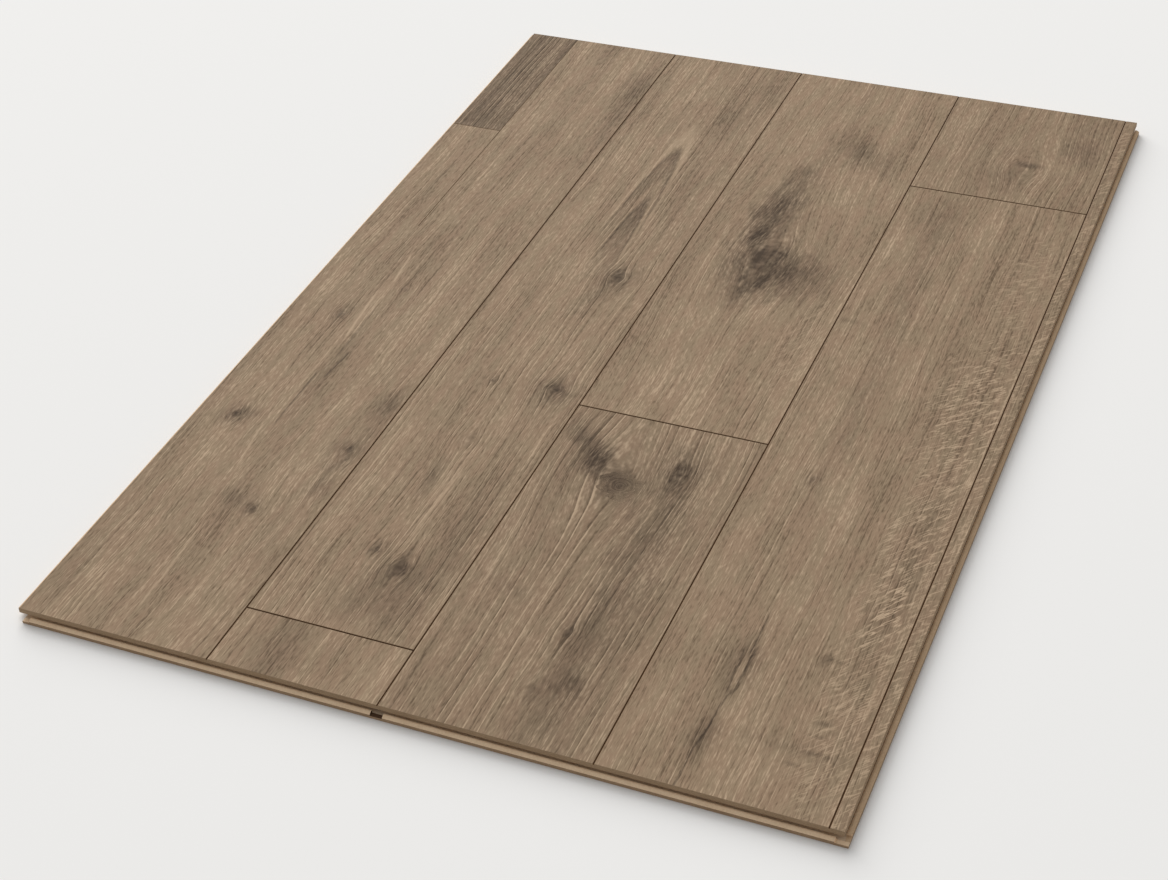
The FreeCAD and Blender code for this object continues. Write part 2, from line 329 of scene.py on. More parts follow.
class FLOORBOARD_PG_face(bpy.types.PropertyGroup):
    """Sizes and colours of the printed and embossed face."""

    width: FloatProperty(name="Face Width", description="Width of the face", default=0.6, unit="LENGTH")
    length: FloatProperty(name="Face Length", description="Length of the face", default=0.9, unit="LENGTH")
    step_across: FloatProperty(
        name="Step Across", description="Width of the mesh's cells",
        default=0.0012, precision=4, unit="LENGTH")
    step_along: FloatProperty(
        name="Step Along", description="Length of the mesh's cells",
        default=0.008, precision=4, unit="LENGTH")
    emboss: FloatProperty(
        name="Emboss", description="Depth of the grain pressed into the face",
        default=0.00009, precision=5, unit="LENGTH")
    knot_sink: FloatProperty(
        name="Knot Sink", description="How deep a dark knot is pressed",
        default=0.00022, precision=5, unit="LENGTH")
    pale: FloatVectorProperty(
        name="Pale Oak", description="Palest wood", size=3, subtype="COLOR",
        default=screen(186, 162, 135))
    middle: FloatVectorProperty(
        name="Oak", description="Wood of middle tone", size=3, subtype="COLOR",
        default=screen(148, 128, 104))
    deep: FloatVectorProperty(
        name="Deep Oak", description="Darkest wood", size=3, subtype="COLOR",
        default=screen(108, 90, 71))
    rosy: FloatVectorProperty(
        name="Rosy Oak", description="Wood with a rosy cast", size=3, subtype="COLOR",
        default=screen(151, 127, 104))
    smoke: FloatVectorProperty(
        name="Smoke", description="Smoky patches and knots", size=3, subtype="COLOR",
        default=screen(74, 61, 49))
    seam: FloatVectorProperty(
        name="Seam", description="Paint in the seams", size=3, subtype="COLOR",
        default=screen(96, 67, 39))
    seam_dark: FloatVectorProperty(
        name="Seam Depth", description="Darker seam paint", size=3, subtype="COLOR",
        default=screen(70, 48, 28))


class FLOORBOARD_PG_body(bpy.types.PropertyGroup):
    """Colours of the milled edges and the underside. The lip's outer face and the trimmed notch are darker
    copies of the fibre that paint shade, and the bead and the groove walls paler copies that paint light.
    """

    rim: FloatVectorProperty(
        name="Rim", description="Eased rim of the face", size=3, subtype="COLOR",
        default=screen(158, 133, 105))
    rim_dark: FloatVectorProperty(
        name="Rim Fibres", description="Darker rim", size=3, subtype="COLOR",
        default=screen(134, 110, 84))
    # Painted shade: the lip's outer face is a darker copy of the fibre, for the shade that side is in.
    lip: FloatVectorProperty(
        name="Lip", description="Outer face of the lip", size=3, subtype="COLOR",
        default=screen(168, 141, 113))
    lip_dark: FloatVectorProperty(
        name="Lip Fibres", description="Darker lip", size=3, subtype="COLOR",
        default=screen(140, 114, 88))
    core: FloatVectorProperty(
        name="Core", description="Pressed fibre", size=3, subtype="COLOR",
        default=screen(214, 184, 150))
    core_dark: FloatVectorProperty(
        name="Core Fibres", description="Dark fibres", size=3, subtype="COLOR",
        default=screen(186, 156, 122))
    # Painted light: the bead is a paler copy of the fibre, for the light that falls on its top.
    bead: FloatVectorProperty(
        name="Bead", description="Raw bead of the front end", size=3, subtype="COLOR",
        default=screen(248, 220, 186))
    bead_dark: FloatVectorProperty(
        name="Bead Fibres", description="Darker bead", size=3, subtype="COLOR",
        default=screen(228, 196, 160))
    # Painted light: the groove walls are fibre painted paler than the core to lift the shade in the groove;
    # the paleness is not wax.
    groove: FloatVectorProperty(
        name="Groove", description="Waxed wall of the groove", size=3, subtype="COLOR",
        default=screen(216, 194, 168))
    groove_dark: FloatVectorProperty(
        name="Groove Fibres", description="Darker groove", size=3, subtype="COLOR",
        default=screen(192, 168, 140))
    # Painted shade: the trimmed notch at the front is fibre painted dark for the shadow inside it, not a
    # scorch.
    burnt: FloatVectorProperty(
        name="Burnt Trim", description="Fibre scorched by the saw", size=3, subtype="COLOR",
        default=screen(104, 76, 55))
    burnt_dark: FloatVectorProperty(
        name="Burnt Fibres", description="Darker scorch", size=3, subtype="COLOR",
        default=screen(78, 57, 41))
    backing: FloatVectorProperty(
        name="Backing", description="Backing paper", size=3, subtype="COLOR",
        default=screen(168, 146, 117))
    backing_dark: FloatVectorProperty(
        name="Backing Mottle", description="Darker mottle", size=3, subtype="COLOR",
        default=screen(140, 119, 93))


class FLOORBOARD_PG_stage(bpy.types.PropertyGroup):
    """Floor, light and camera."""

    floor: FloatVectorProperty(
        name="Floor", description="Colour of the floor", size=3, subtype="COLOR",
        default=screen(240, 239, 237))
    floor_size: FloatProperty(
        name="Floor Size", description="Side of the floor", default=30.0, unit="LENGTH")
    sky: FloatProperty(name="Sky", description="Strength of the even light all round", default=0.44)
    lamp: FloatProperty(name="Lamp", description="Power of the soft lamp", default=11800.0, unit="POWER")
    lamp_size: FloatProperty(
        name="Lamp Size", description="Side of the soft lamp", default=24.0, unit="LENGTH")
    lamp_place: FloatVectorProperty(
        name="Lamp Place", description="Where the lamp hangs", size=3, subtype="TRANSLATION",
        default=(-17.6, 19.5, 14.5))
    camera_place: FloatVectorProperty(
        name="Camera Place", description="Where the camera stands", size=3, subtype="TRANSLATION",
        default=(0.5302, -1.2841, 0.9900))
    camera_aim: FloatVectorProperty(
        name="Camera Aim", description="What the camera looks at", size=3, subtype="TRANSLATION",
        default=(0.0021, -0.1456, 0.0100))
    camera_roll: FloatProperty(
        name="Camera Roll", description="Tilt of the camera about its own line of sight",
        default=math.radians(-3.73), subtype="ANGLE")
    lens: FloatProperty(name="Lens", description="Focal length in millimetres", default=65.03)


class Wires:
    """Adds nodes to one node tree and joins them. A value is a number, a colour or another node's socket."""

    def __init__(self, tree):
        self.tree = tree

    def add(self, kind, inputs=None, **settings):
        """A new node with these settings and inputs."""
        column, row = divmod(len(self.tree.nodes), NODE_ROWS)
        node = self.tree.nodes.new(kind)
        node.location = (column * NODE_STEP, -row * NODE_STEP)
        for name, value in settings.items():
            setattr(node, name, value)
        for name, value in (inputs or {}).items():
            self.feed(node.inputs[name], value)
        return node

    def feed(self, socket, value):
        """Joins a socket to this one, or writes a plain value on it."""
        if isinstance(value, bpy.types.NodeSocket):
            self.tree.links.new(value, socket)
        elif socket.type == "RGBA":
            socket.default_value = (*value[:3], 1.0)
        else:
            socket.default_value = value

    def math(self, operation, *values, clamp=False):
        """One sum on numbers."""
        node = self.add("ShaderNodeMath", operation=operation, use_clamp=clamp)
        for socket, value in zip(node.inputs, values):
            self.feed(socket, value)
        return node.outputs["Value"]

    def total(self, *parts):
        """A number plus any count of (value, share) pairs, each value counted from its middle, 0.5."""
        result, *pairs = parts
        for value, share in pairs:
            centred = self.math("SUBTRACT", value, 0.5)
            result = self.math("MULTIPLY_ADD", centred, share, result)
        return result

    def fade(self, value, none, full):
        """A smooth step from 0 where the value is `none` to 1 where it is `full`."""
        node = self.add("ShaderNodeMapRange", {"Value": value, "From Min": none, "From Max": full},
                        interpolation_type="SMOOTHSTEP")
        return node.outputs["Result"]

    def grain_noise(self, across, along, seed, per_metre, detail=2.0, roughness=0.55):
        """Noise that changes per_metre[0] times a metre across and per_metre[1] times a metre along."""
        place = self.add("ShaderNodeCombineXYZ", {
            "X": self.math("MULTIPLY", across, per_metre[0]),
            "Y": self.math("MULTIPLY", along, per_metre[1]),
            "Z": seed})
        node = self.add("ShaderNodeTexNoise", {
            "Vector": place.outputs["Vector"], "Scale": 1.0, "Detail": detail, "Roughness": roughness})
        return node.outputs["Fac"]

    def blend(self, share, first, second):
        """A colour between two others."""
        node = self.add("ShaderNodeMix", data_type="RGBA", clamp_factor=True)
        factor, start, end = (s for s in node.inputs if s.enabled)
        self.feed(factor, share)
        self.feed(start, first)
        self.feed(end, second)
        return next(s for s in node.outputs if s.enabled)

    def use(self, group, **inputs):
        """Places a node group and returns its outputs. Names of sockets take underscores here."""
        node = self.add("ShaderNodeGroup", node_tree=group)
        for name, value in inputs.items():
            self.feed(node.inputs[name.replace("_", " ").capitalize()], value)
        return node.outputs


def new_group(name, inputs, outputs):
    """An empty node group with these sockets: its wires, its inner inputs and its inner outputs."""
    tree = bpy.data.node_groups.new(name, "ShaderNodeTree")
    for label in inputs:
        tree.interface.new_socket(label, in_out="INPUT", socket_type="NodeSocketFloat")
    for label, kind in outputs.items():
        tree.interface.new_socket(label, in_out="OUTPUT", socket_type=f"NodeSocket{kind}")
    wires = Wires(tree)
    given = wires.add("NodeGroupInput").outputs
    result = wires.add("NodeGroupOutput").inputs
    return wires, given, result


def place_group(face):
    """Where a point lies on the face, from its front left corner, and two kinds of unevenness there."""
    wires, _, result = new_group("Place on the face", (), {
        "Across": "Float", "Along": "Float", "Wobble": "Float", "Streak": "Float"})
    place = wires.add("ShaderNodeTexCoord").outputs["Object"]
    split = wires.add("ShaderNodeSeparateXYZ", {"Vector": place}).outputs
    across = wires.math("ADD", split["X"], face.width / 2)
    along = wires.math("ADD", split["Y"], face.length / 2)
    wobble = wires.grain_noise(across, along, 2.0, (70, 45), detail=3.0, roughness=0.5)
    streak = wires.grain_noise(across, along, 9.0, (380, 45), detail=3.0, roughness=0.6)
    wires.feed(result["Across"], across)
    wires.feed(result["Along"], along)
    wires.feed(result["Wobble"], wires.math("SUBTRACT", wobble, 0.5))
    wires.feed(result["Streak"], wires.math("SUBTRACT", streak, 0.5))
    return wires.tree


def knot_outline(wires, given):
    """How far a point is beside a knot's middle, its squared distance from it, and the outline's lumps."""
    beside = wires.math("SUBTRACT", given["Across"], given["At across"])
    past = wires.math("DIVIDE", wires.math("SUBTRACT", given["Along"], given["At along"]), given["Stretch"])
    distance_squared = wires.math("MULTIPLY_ADD", past, past, wires.math("MULTIPLY", beside, beside))
    fineness = wires.math("DIVIDE", 0.8, given["Radius"])
    shape = wires.add("ShaderNodeCombineXYZ", {
        "X": wires.math("MULTIPLY", beside, fineness),
        "Y": wires.math("MULTIPLY", past, fineness),
        "Z": wires.math("MULTIPLY", given["At across"], 900)})
    lumps = wires.add("ShaderNodeTexNoise", {
        "Vector": shape.outputs["Vector"], "Scale": 1.0, "Detail": 3.0, "Roughness": 0.6}).outputs["Fac"]
    return beside, distance_squared, lumps


def eye_group():
    """Gives the eye of a swirl rings of its own in place of the long grain."""
    wires, given, result = new_group("Swirl eye", (
        "Across", "Along", "Grain", "At across", "At along", "Radius", "Stretch"), {"Grain": "Float"})
    _, distance_squared, lumps = knot_outline(wires, given)
    distance = wires.math("SQRT", distance_squared)
    ragged = wires.total(wires.math("DIVIDE", distance, given["Radius"]), (lumps, 2.2))
    own = wires.total(wires.math("MULTIPLY_ADD", distance, EYE_RINGS, given["At across"]), (lumps, 0.02))
    change = wires.math("SUBTRACT", own, given["Grain"])
    inside = wires.fade(ragged, 1.25, 0.75)
    wires.feed(result["Grain"], wires.math("MULTIPLY_ADD", change, inside, given["Grain"]))
    return wires.tree


def knot_group():
    """Bends the grain round a knot and darkens it, with a smear along the grain."""
    wires, given, result = new_group("Knot", (
        "Across", "Along", "Streak", "Grain", "Shade", "At across", "At along", "Radius", "Stretch", "Push",
        "Dark", "Smear"), {"Grain": "Float", "Shade": "Float"})
    radius = given["Radius"]
    beside, distance_squared, lumps = knot_outline(wires, given)
    radius_squared = wires.math("MULTIPLY", radius, radius)
    room = wires.math("ADD", radius_squared, distance_squared)
    bend = wires.math("DIVIDE", wires.math("MULTIPLY", beside, radius_squared), room)
    round_it = wires.math("SUBTRACT", given["Grain"], wires.math("MULTIPLY", bend, given["Push"]))
    wires.feed(result["Grain"], round_it)
    reach = wires.math("DIVIDE", wires.math("SQRT", distance_squared), radius)
    frayed = wires.math("MULTIPLY_ADD", given["Streak"], 1.6, reach)
    ragged = wires.total(frayed, (lumps, 2.2))
    specks = wires.grain_noise(given["Across"], given["Along"], given["At across"], (420, 420))
    core = wires.math("MULTIPLY", wires.fade(ragged, 1.4, 0.0), wires.total(1.0, (specks, 1.6)))
    streaky = wires.math("MULTIPLY_ADD", given["Streak"], 2.0, reach)
    halo = wires.fade(wires.total(streaky, (lumps, 2.0)), 3.2, 0.2)
    smeared = wires.math("MULTIPLY_ADD", halo, given["Smear"], wires.math("MULTIPLY", core, KNOT_CORE))
    wires.feed(result["Shade"], wires.math("MULTIPLY_ADD", smeared, given["Dark"], given["Shade"]))
    return wires.tree


def patch_reach(wires, given):
    """How far a point is along and beside a patch's middle, and along as a share of the half length."""
    past = wires.math("SUBTRACT", given["Along"], given["At along"])
    beside = wires.math("SUBTRACT", given["Across"], given["At across"])
    share_along = wires.math("DIVIDE", past, given["Half length"])
    return past, beside, share_along


def patch_group():
    """Adds a soft smoky or pale patch with streaked, uneven edges."""
    wires, given, result = new_group("Smoky patch", (
        "Across", "Along", "Wobble", "Streak", "Shade", "At across", "At along", "Half width", "Half length",
        "Lean", "Amount"), {"Shade": "Float"})
    past, beside, share_along = patch_reach(wires, given)
    upright = wires.math("SUBTRACT", beside, wires.math("MULTIPLY", past, given["Lean"]))
    share_across = wires.math("DIVIDE", upright, given["Half width"])
    squared = wires.math("MULTIPLY", share_across, share_across)
    reach = wires.math("SQRT", wires.math("MULTIPLY_ADD", share_along, share_along, squared))
    uneven = wires.math("MULTIPLY_ADD", given["Wobble"], 1.2, reach)
    soft = wires.fade(wires.math("MULTIPLY_ADD", given["Streak"], 0.8, uneven), 1.55, -0.2)
    wires.feed(result["Shade"], wires.math("MULTIPLY_ADD", soft, given["Amount"], given["Shade"]))
    return wires.tree


def hairline_group():
    """Adds a thin line that wanders along the grain between two points."""
    wires, given, result = new_group("Hairline", (
        "Across", "Along", "Shade", "From across", "From along", "To across", "To along", "Width", "Amount",
        "Wander"), {"Shade": "Float"})
    run = wires.math("SUBTRACT", given["To along"], given["From along"])
    share = wires.math("DIVIDE", wires.math("SUBTRACT", given["Along"], given["From along"]), run)
    drift = wires.math("SUBTRACT", given["To across"], given["From across"])
    straight = wires.math("MULTIPLY_ADD", share, drift, given["From across"])
    sway = wires.grain_noise(given["From across"], given["Along"], 4.0, (60, 70), detail=3.0)
    line = wires.math("MULTIPLY_ADD", wires.math("SUBTRACT", sway, 0.5), given["Wander"], straight)
    off = wires.math("ABSOLUTE", wires.math("SUBTRACT", given["Across"], line))
    thin = wires.fade(wires.math("DIVIDE", off, given["Width"]), 1.0, 0.1)
    begun = wires.fade(share, 0.0, 0.2)
    ending = wires.fade(share, 1.0, 0.8)
    whole = wires.math("MULTIPLY", thin, wires.math("MULTIPLY", begun, ending))
    wires.feed(result["Shade"], wires.math("MULTIPLY_ADD", whole, given["Amount"], given["Shade"]))
    return wires.tree


def flecks_group():
    """Adds a stretch of pale ray flecks, thin broken lines across the grain."""
    wires, given, result = new_group("Ray flecks", (
        "Across", "Along", "Wobble", "Shade", "Relief", "At across", "At along", "Half width", "Half length",
        "Amount", "Lean"), {"Shade": "Float", "Relief": "Float"})
    _, beside, share_along = patch_reach(wires, given)
    share_across = wires.math("DIVIDE", beside, given["Half width"])
    squared = wires.math("MULTIPLY", share_across, share_across)
    reach = wires.math("SQRT", wires.math("MULTIPLY_ADD", share_along, share_along, squared))
    window = wires.fade(wires.math("MULTIPLY_ADD", given["Wobble"], 1.2, reach), 1.2, 0.5)
    leaning = wires.math("SUBTRACT", given["Along"], wires.math("MULTIPLY", beside, given["Lean"]))
    wisps = wires.grain_noise(given["Across"], leaning, 6.0, (60, 205), roughness=0.5)
    ridge = wires.fade(wires.math("ABSOLUTE", wires.math("SUBTRACT", wisps, 0.5)), 0.06, 0.01)
    broken = wires.fade(wires.grain_noise(given["Across"], leaning, 8.0, (130, 150)), 0.40, 0.56)
    spread = wires.math("MULTIPLY", window, given["Amount"])
    fleck = wires.math("MULTIPLY", wires.math("MULTIPLY", ridge, broken), spread)
    wires.feed(result["Relief"], wires.math("ADD", given["Relief"], fleck))
    dusk = wires.math("MULTIPLY_ADD", spread, 0.12, given["Shade"])
    wires.feed(result["Shade"], wires.math("MULTIPLY_ADD", fleck, -0.90, dusk))
    return wires.tree


def tongue_group():
    """Adds a darker pointed tongue with a pale outline, as flat-sawn growth lines make."""
    wires, given, result = new_group("Tongue", (
        "Along", "Streak", "Grain", "Shade", "At across", "Tip", "Start", "Closing", "Length", "Amount"),
        {"Shade": "Float"})
    beside = wires.math("SUBTRACT", given["Grain"], given["At across"])
    past = wires.math("MAXIMUM", wires.math("SUBTRACT", given["Along"], given["Start"]), 0.0)
    depth = wires.math("MULTIPLY", past, given["Closing"])
    squared = wires.math("MULTIPLY", beside, beside)
    ring = wires.math("SQRT", wires.math("MULTIPLY_ADD", depth, depth, squared))
    size = wires.math("MULTIPLY", wires.math("SUBTRACT", given["Tip"], given["Start"]), given["Closing"])
    share = wires.math("MULTIPLY_ADD", given["Streak"], 0.05, wires.math("DIVIDE", ring, size))
    below = wires.math("SUBTRACT", given["Tip"], given["Along"])
    fading = wires.fade(wires.math("DIVIDE", below, given["Length"]), 1.0, 0.25)
    fill = wires.fade(share, 1.0, 0.94)
    outline = wires.fade(wires.math("ABSOLUTE", wires.math("SUBTRACT", share, 1.05)), 0.08, 0.0)
    rim = wires.fade(wires.math("ABSOLUTE", wires.math("SUBTRACT", share, 0.95)), 0.06, 0.0)
    drawn = wires.math("MULTIPLY_ADD", outline, -1.0, wires.math("MULTIPLY_ADD", rim, 0.8, fill))
    amount = wires.math("MULTIPLY", fading, given["Amount"])
    wires.feed(result["Shade"], wires.math("MULTIPLY_ADD", drawn, amount, given["Shade"]))
    return wires.tree


def figure_group(face):
    """Oak: growth lines with a pale crest beside a dark furrow, broad bands, clouds, fibres and pores, with
    the marks' shade laid over them. The furrow's darkening is partly the grain's own and partly painted
    shade beside the pressed crest."""
    wires, given, result = new_group("Oak figure", (
        "Grain", "Across", "Along", "Shade", "Relief", "Seed", "Rings", "Growth", "Waver"), {
            "Colour": "Color", "Height": "Float", "Roughness": "Float"})
    along, seed = given["Along"], given["Seed"]
    sway = wires.grain_noise(given["Across"], along, seed, (9, 3.5), detail=3.0)
    room = wires.math("MULTIPLY", given["Waver"], 0.012)
    swing = wires.math("MULTIPLY", wires.math("SUBTRACT", sway, 0.5), room)
    grain = wires.math("ADD", given["Grain"], swing)
    crowding = wires.grain_noise(grain, along, wires.math("ADD", seed, 3.1), (45, 1.2))
    turns = wires.math("MULTIPLY", wires.math("MULTIPLY_ADD", crowding, 0.012, grain), given["Rings"])
    ring = wires.math("FLOOR", turns)
    part = wires.math("FRACT", turns)
    stretches = wires.grain_noise(ring, along, wires.math("ADD", seed, 5.3), (7.3, 6))
    shown = wires.math("MULTIPLY", wires.fade(stretches, 0.42, 0.60), given["Growth"])
    crest = wires.math("MULTIPLY", wires.fade(part, 0.27, 0.05), shown)
    furrow = wires.math("MULTIPLY", wires.fade(part, 0.64, 0.98), shown)
    bands = wires.grain_noise(grain, along, wires.math("ADD", seed, 7.3), (42, 1.4))
    fibres = wires.grain_noise(grain, along, wires.math("ADD", seed, 9.7), (760, 12), roughness=0.6)
    pores = wires.grain_noise(grain, along, wires.math("ADD", seed, 11.7), (1000, 160), detail=1.0)
    clouds = wires.grain_noise(given["Across"], along, wires.math("ADD", seed, 13.1), (22, 12), detail=5.0)
    drift = wires.grain_noise(given["Across"], along, wires.math("ADD", seed, 17.9), (90, 28), detail=3.0)
    light = wires.total(0.5, (bands, 0.8), (clouds, 0.6), (fibres, 1.0), (pores, 1.05))
    # The dark furrow beside each crest is partly the grain's own line and partly painted shade of the
    # pressed crest.
    lines = wires.math("MULTIPLY_ADD", furrow, -0.24, wires.math("MULTIPLY", crest, 0.31))
    quiet = wires.fade(given["Shade"], 1.1, 0.45)
    level = wires.math("MULTIPLY_ADD", lines, quiet, light)
    wood = wires.blend(wires.fade(drift, 0.35, 0.65), face.middle, face.rosy)
    darker = wires.blend(wires.fade(level, 0.5, -0.1), wood, face.deep)
    paler = wires.blend(wires.fade(level, 0.5, 1.1), darker, face.pale)
    lifted = wires.blend(wires.math("MULTIPLY", given["Shade"], -1.0), paler, face.pale)
    limit = wires.math("MULTIPLY_ADD", given["Shade"], SMOKE_FILL, 1.0)
    filled = wires.math("DIVIDE", given["Shade"], limit)
    smoky = wires.math("MULTIPLY", filled, wires.total(1.0, (level, -0.9)))
    raised = wires.math("SUBTRACT", crest, furrow)
    wires.feed(result["Colour"], wires.blend(smoky, lifted, face.smoke))
    rough = wires.total(0.5, (fibres, 0.6), (pores, 0.5))
    ridged = wires.math("MULTIPLY_ADD", raised, 0.25, rough)
    wires.feed(result["Height"], wires.math("MULTIPLY_ADD", given["Relief"], 0.35, ridged))
    wires.feed(result["Roughness"], wires.total(0.72, (pores, -0.2), (bands, 0.1)))
    return wires.tree


def fibre_group():
    """Pressed fibre or paper: fine flakes of two tones, faintly layered."""
    wires, _, result = new_group("Pressed fibre", (), {"Mottle": "Float", "Height": "Float"})
    place = wires.add("ShaderNodeTexCoord").outputs["Object"]
    layered = wires.add("ShaderNodeVectorMath", {0: place, 1: (700, 700, 2200)}, operation="MULTIPLY")
    flakes = wires.add("ShaderNodeTexNoise", {
        "Vector": layered.outputs["Vector"], "Scale": 1.0, "Detail": 3.0, "Roughness": 0.65}).outputs["Fac"]
    clouds = wires.add("ShaderNodeTexNoise", {"Vector": place, "Scale": 60.0, "Detail": 3.0}).outputs["Fac"]
    wires.feed(result["Mottle"], wires.total(0.42, (flakes, 1.8), (clouds, 0.9)))
    wires.feed(result["Height"], flakes)
    return wires.tree


class OakGroups(NamedTuple):
    """The node groups that the oak materials share."""

    place: bpy.types.NodeTree
    figure: bpy.types.NodeTree
    marks: dict


def oak_groups(face):
    """Builds each shared group once."""
    marks = {Knot: knot_group(), Eye: eye_group(), Patch: patch_group(), Hairline: hairline_group(),
             Flecks: flecks_group(), Tongue: tongue_group()}
    return OakGroups(place_group(face), figure_group(face), marks)


def new_material(name):
    """An empty material with a Principled shader: its wires and the shader."""
    material = bpy.data.materials.new(name)
    material.use_nodes = True
    material.node_tree.nodes.clear()
    wires = Wires(material.node_tree)
    shader = wires.add("ShaderNodeBsdfPrincipled")
    wires.add("ShaderNodeOutputMaterial", {"Surface": shader.outputs["BSDF"]})
    return material, wires, shader


def add_bump(wires, shader, height, distance, strength):
    """Lets a height roughen the surface."""
    bump = wires.add("ShaderNodeBump", {"Height": height, "Distance": distance, "Strength": strength})
    wires.feed(shader.inputs["Normal"], bump.outputs["Normal"])


def add_mark(wires, group, mark, state):
    """Passes the wood's state, which is its place, grain and shade, through one mark's group."""
    node = wires.add("ShaderNodeGroup", node_tree=group)
    for name, value in state.items():
        if name in node.inputs:
            wires.feed(node.inputs[name], value)
    for field, value in mark._asdict().items():
        wires.feed(node.inputs[field.replace("_", " ").capitalize()], value)
    for output in node.outputs:
        state[output.name] = output


def oak_material(plank, seed, groups):
    """The oak of one printed plank."""
    material, wires, shader = new_material(f"oak_{plank.name}")
    state = {output.name: output for output in wires.use(groups.place)}
    state["Grain"] = state["Across"]
    state["Shade"] = plank.tone
    state["Relief"] = 0.0
    for mark in plank.marks:
        add_mark(wires, groups.marks[type(mark)], mark, state)
    figure = wires.use(groups.figure, grain=state["Grain"], across=state["Across"], along=state["Along"],
                       shade=state["Shade"], relief=state["Relief"], seed=seed, rings=plank.rings,
                       growth=plank.growth, waver=plank.waver)
    wires.feed(shader.inputs["Base Color"], figure["Colour"])
    wires.feed(shader.inputs["Roughness"], figure["Roughness"])
    shader.inputs["Specular IOR Level"].default_value = OAK_SPECULAR
    add_bump(wires, shader, figure["Height"], OAK_BUMP_DEPTH, OAK_BUMP_STRENGTH)
    return material


class Finish(NamedTuple):
    """A finish of the edges or the underside: its two tones, its roughness and how deep its flakes are."""

    pale: tuple
    dark: tuple
    roughness: float
    relief: float


def fibre_material(name, group, finish):
    """Pressed fibre or paper of two tones."""
    material, wires, shader = new_material(name)
    fibre = wires.use(group)
    wires.feed(shader.inputs["Base Color"], wires.blend(fibre["Mottle"], finish.pale, finish.dark))
    shader.inputs["Roughness"].default_value = finish.roughness
    shader.inputs["Specular IOR Level"].default_value = FIBRE_SPECULAR
    add_bump(wires, shader, fibre["Height"], finish.relief, FIBRE_BUMP_STRENGTH)
    return material


def plank_at(across, along):
    """The number of the printed plank at a place on the face."""
    for number, plank in enumerate(PLANKS):
        if plank.left <= across <= plank.right and plank.front <= along <= plank.back:
            return number
    raise RuntimeError(f"no plank at {across:.4f}, {along:.4f}")


def grain_at(plank, across, along):
    """The grain's own place across the board, as the knot group bends it, and how knotty the wood is."""
    grain = across
    knotty = 0.0
    for mark in plank.marks:
        if isinstance(mark, Knot):
            beside = across - mark.at_across
            past = (along - mark.at_along) / mark.stretch
            distance_squared = beside * beside + past * past
            radius_squared = mark.radius * mark.radius
            grain -= mark.push * beside * radius_squared / (distance_squared + radius_squared)
            knotty = max(knotty, mark.dark * max(0.0, 1 - distance_squared / radius_squared))
    return grain, knotty


def relief_at(face, across, along):
    """How deep the face is pressed at a place: long furrows along the grain, and sunken knots."""
    number = plank_at(across, along)
    grain, knotty = grain_at(PLANKS[number], across, along)
    furrow = noise.noise(Vector((grain * FURROWS[0], along * FURROWS[1], number)))
    fine = noise.noise(Vector((grain * FINE_FURROWS[0], along * FINE_FURROWS[1], number + 20)))
    share = min(1.0, max(0.0, 0.5 + 0.6 * furrow + 0.4 * fine))
    return face.emboss * share + face.knot_sink * knotty


def welded_board(cad):
    """A closed copy of the CAD board's mesh, with its flat faces whole again."""
    board = bmesh.new()
    corners = [board.verts.new(vertex.co) for vertex in cad.vertices]
    for polygon in cad.polygons:
        board.faces.new([corners[index] for index in polygon.vertices])
    bmesh.ops.remove_doubles(board, verts=board.verts, dist=WELD)
    bmesh.ops.dissolve_limit(board, angle_limit=WELD_ANGLE, verts=board.verts, edges=board.edges)
    board.normal_update()
    return board


def cut_at(board, faces, place, normal):
    """Cuts faces at a plane and returns all that they become."""
    edges = {edge for face in faces for edge in face.edges}
    corners = {corner for face in faces for corner in face.verts}
    whole = [*faces, *edges, *corners]
    cut = bmesh.ops.bisect_plane(board, geom=whole, dist=WELD, plane_co=place, plane_no=normal)
    return [piece for piece in cut["geom"] if isinstance(piece, bmesh.types.BMFace)]


def cut_rows(board, faces, axis, low, high, step):
    """Cuts faces into rows of about one step along an axis, working from the low end."""
    count = round((high - low) / step)
    normal = Vector((axis == 0, axis == 1, 0))
    ahead = faces
    done = []
    for number in range(1, count):
        place = low + (high - low) * number / count
        pieces = cut_at(board, ahead, normal * place, normal)
        ahead = [piece for piece in pieces if piece.calc_center_median()[axis] > place]
        done += [piece for piece in pieces if piece.calc_center_median()[axis] <= place]
    return done + ahead


def is_seam(polygon, face, high):
    """Whether a face of the board is a wall of one of the seams between the planks."""
    centre = polygon.calc_center_median()
    inside = abs(centre.x) < face.width / 2 - RIM and abs(centre.y) < face.length / 2 - RIM
    return inside and centre.z > high.z / 2 and 0 < polygon.normal.z < FLAT


def cut_finishes(board, face, low, high):
    """Cuts the edges where one finish meets the next: beside the trimmed place of the front, below the rim
    of the face and near the top of the seams."""
    behind = low.y + 2 * TRIM_DEPTH
    front = [p for p in board.faces if p.calc_center_median().y < behind and p.normal.z < FLAT]
    for place in TRIM:
        front = cut_at(board, front, (place - face.width / 2, 0, 0), (1, 0, 0))
    ledges = [p for p in board.faces if p.calc_center_median().z < high.z / 2 and p.normal.z > -FLAT]
    ledges = cut_at(board, ledges, (face.width / 2, 0, 0), (1, 0, 0))
    cut_at(board, ledges, (0, -face.length / 2, 0), (0, 1, 0))
    seams = [p for p in board.faces if is_seam(p, face, high)]
    cut_at(board, seams, (0, 0, high.z - SEAM_SHOULDER), (0, 0, 1))


